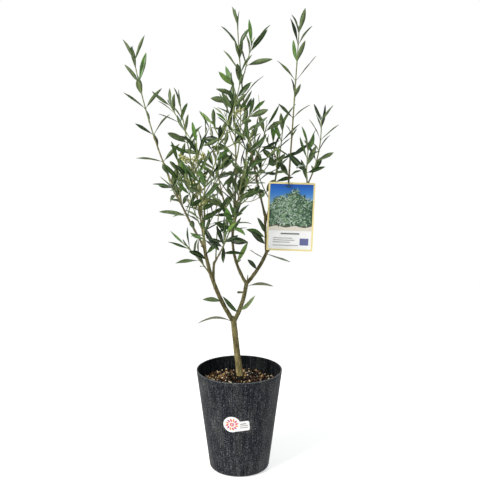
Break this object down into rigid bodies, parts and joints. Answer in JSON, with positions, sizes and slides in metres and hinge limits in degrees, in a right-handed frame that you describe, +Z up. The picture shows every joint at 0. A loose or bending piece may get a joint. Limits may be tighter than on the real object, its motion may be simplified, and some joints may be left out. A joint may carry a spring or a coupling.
{
  "type": "potted olive tree",
  "caption": "Young olive tree in a deep black nursery pot: a slim forked trunk, upright boughs, long leafy shoots and a hanging plant label.",
  "frame": {"origin": "centre of the pot's flat underside, where the potted tree stands", "axes": "+Z up along the pot's axis, +X to the right in the front view, towards the plant label, and +Y to the back"},
  "size_m": [0.3568, 0.2728, 0.7969],
  "materials": {
    "pot": "matt black plastic with fine dusty vertical streaks",
    "soil": "dark moist bark compost with pale grains",
    "sticker": "white coated paper",
    "bark": "smooth olive-brown young bark with small pores",
    "foliage": "leathery dark green leaves with pale undersides",
    "label": "coated printed card",
    "tie": "green plastic-coated wire"
  },
  "bodies": {
    "root": {"pot": "pot", "soil": "soil", "sticker": "sticker", "trunk": "bark", "left_bough": "bark", "right_bough": "bark", "left_inner_bough": "bark", "centre_bough": "bark", "outer_right_bough": "bark", "right_upright_bough": "bark", "right_rear_bough": "bark", "single_leaf_1": "foliage", "single_leaf_2": "foliage", "single_leaf_3": "foliage", "single_leaf_4": "foliage", "single_leaf_5": "foliage", "single_leaf_6": "foliage", "single_leaf_7": "foliage", "single_leaf_8": "foliage", "single_leaf_9": "foliage", "single_leaf_10": "foliage", "single_leaf_11": "foliage", "single_leaf_12": "foliage", "single_leaf_13": "foliage", "single_leaf_14": "foliage", "foliage_left_leader": "foliage", "foliage_left_front": "foliage", "foliage_left_inner": "foliage", "foliage_centre": "foliage", "foliage_top_leader": "foliage", "foliage_right_leader": "foliage", "foliage_right_inner": "foliage", "foliage_right_outer": "foliage", "foliage_low_middle": "foliage", "foliage_low_left": "foliage", "foliage_back_left": "foliage", "foliage_back_right": "foliage", "foliage_front_left": "foliage", "foliage_front_right": "foliage", "label": "label", "label_tie": "tie"}
  },
  "joints": []
}
